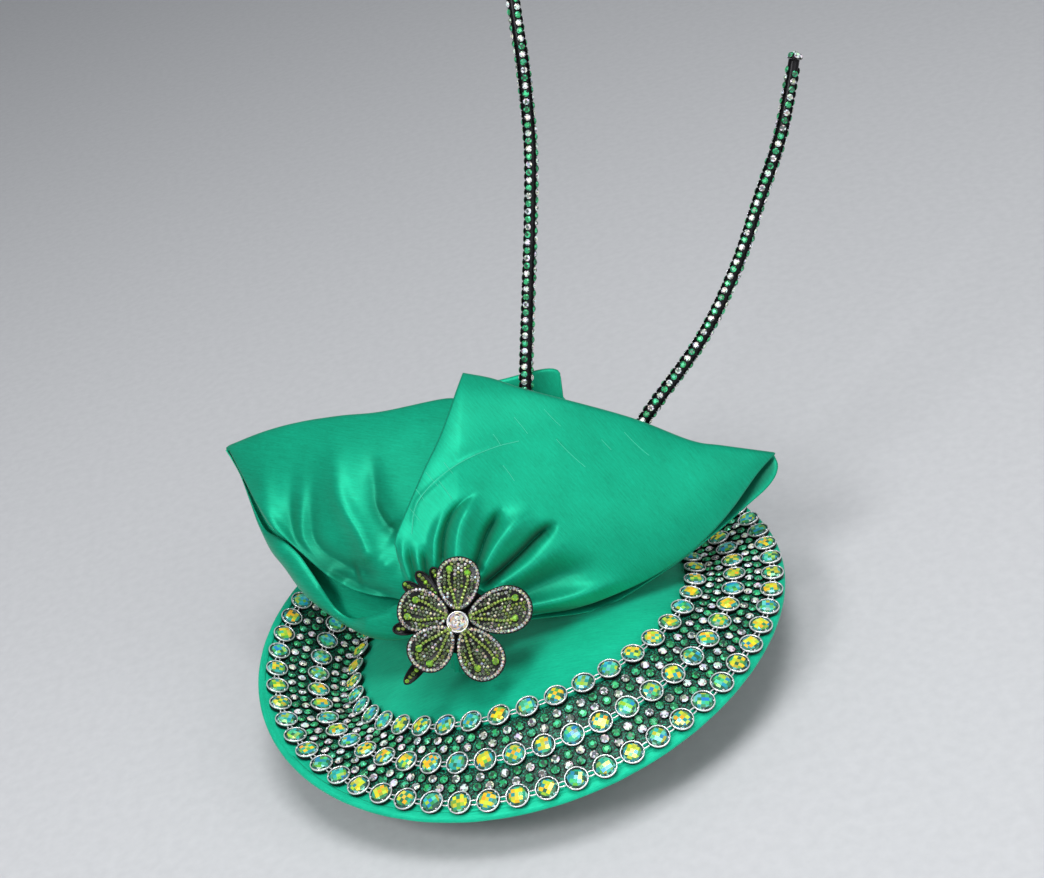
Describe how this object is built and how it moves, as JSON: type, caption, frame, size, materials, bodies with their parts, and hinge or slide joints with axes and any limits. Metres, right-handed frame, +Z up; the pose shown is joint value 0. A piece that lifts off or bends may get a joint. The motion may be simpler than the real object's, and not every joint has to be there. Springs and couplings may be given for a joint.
{
  "type": "satin saucer fascinator hat",
  "caption": "Tilted satin saucer hat with rings of crystal chain, a large asymmetric bow with a brooch, two rhinestone antennae, and a comb and spring clips underneath.",
  "frame": {"origin": "centre of the head ring's flat bottom face, where the hat sits on the wearer's head", "axes": "+Z up from the head, square to the seat; -Y is the wearer's front, the side shown; +X is towards the bow's long wing"},
  "size_m": [0.3022, 0.2392, 0.278],
  "materials": {
    "satin": "emerald dupion satin",
    "felt": "matte dark green",
    "buckram": "stiffened open weave",
    "petersham": "ribbed ribbon",
    "steel": "bright spring steel",
    "silver_cups": "polished cups holding coated clear crystals",
    "emerald_glass": "small faceted stones in dark settings",
    "black_metal": "gunmetal black",
    "peridot_stones": "rows of faceted stones in black metal",
    "clear_crystal": "faceted, coated"
  },
  "bodies": {
    "hat": {"brim_core": "buckram", "brim_wire": "steel", "top_cover": "satin", "under_lining": "felt", "edge_binding": "satin", "head_ring": "felt", "petersham_ribbon": "petersham", "hair_comb": "steel", "left_clip_base": "steel", "left_clip_pin": "steel", "left_clip_spring": "steel", "right_clip_base": "steel", "right_clip_pin": "steel", "right_clip_spring": "steel", "outer_crystal_chain": "silver_cups", "middle_crystal_chain": "silver_cups", "inner_crystal_chain": "silver_cups", "outer_rhinestone_trim": "emerald_glass", "inner_rhinestone_trim": "emerald_glass", "bow_foot": "satin", "bow_knot": "satin", "bow_right_wing": "satin", "bow_left_wing": "satin", "bow_back_fold": "satin", "brooch_plate": "black_metal", "brooch_petal_top": "peridot_stones", "brooch_petal_right": "peridot_stones", "brooch_petal_lower_right": "peridot_stones", "brooch_petal_lower_left": "peridot_stones", "brooch_petal_left": "peridot_stones", "brooch_leaf_1": "peridot_stones", "brooch_leaf_2": "peridot_stones", "brooch_leaf_3": "peridot_stones", "brooch_leaf_4": "peridot_stones", "brooch_stem": "peridot_stones", "brooch_centre_stone": "clear_crystal", "antenna_bracket": "black_metal"},
    "left_clip_arm": {"left_clip_lever": "steel"},
    "left_antenna": {"left_antenna_wire": "steel", "left_antenna_sleeve": "black_metal", "left_antenna_tip": "black_metal"},
    "right_clip_arm": {"right_clip_lever": "steel"},
    "right_antenna": {"right_antenna_wire": "steel", "right_antenna_sleeve": "black_metal", "right_antenna_tip": "black_metal"}
  },
  "joints": [
    {"name": "left_antenna_sway", "type": "hinge", "parent": "hat", "child": "left_antenna", "pos_m": [0.01249, 0.00504, 0.04542], "axis": [-0.0276, -0.9059, 0.4226], "range_deg": [-8, 8], "stiffness_Nm_per_rad": 0.8},
    {"name": "right_antenna_sway", "type": "hinge", "parent": "hat", "child": "right_antenna", "pos_m": [0.02595, 0.00449, 0.04546], "axis": [-0.0276, -0.9059, 0.4226], "range_deg": [-8, 8], "stiffness_Nm_per_rad": 0.8},
    {"name": "left_clip_open", "type": "hinge", "parent": "hat", "child": "left_clip_arm", "pos_m": [-0.037, -0.004, 0.0065], "axis": [-1, 0, 0], "range_deg": [0, 25], "stiffness_Nm_per_rad": 0.05, "springref_deg": -17.19},
    {"name": "right_clip_open", "type": "hinge", "parent": "hat", "child": "right_clip_arm", "pos_m": [0.037, -0.004, 0.0065], "axis": [-1, 0, 0], "range_deg": [0, 25], "stiffness_Nm_per_rad": 0.05, "springref_deg": -17.19}
  ]
}
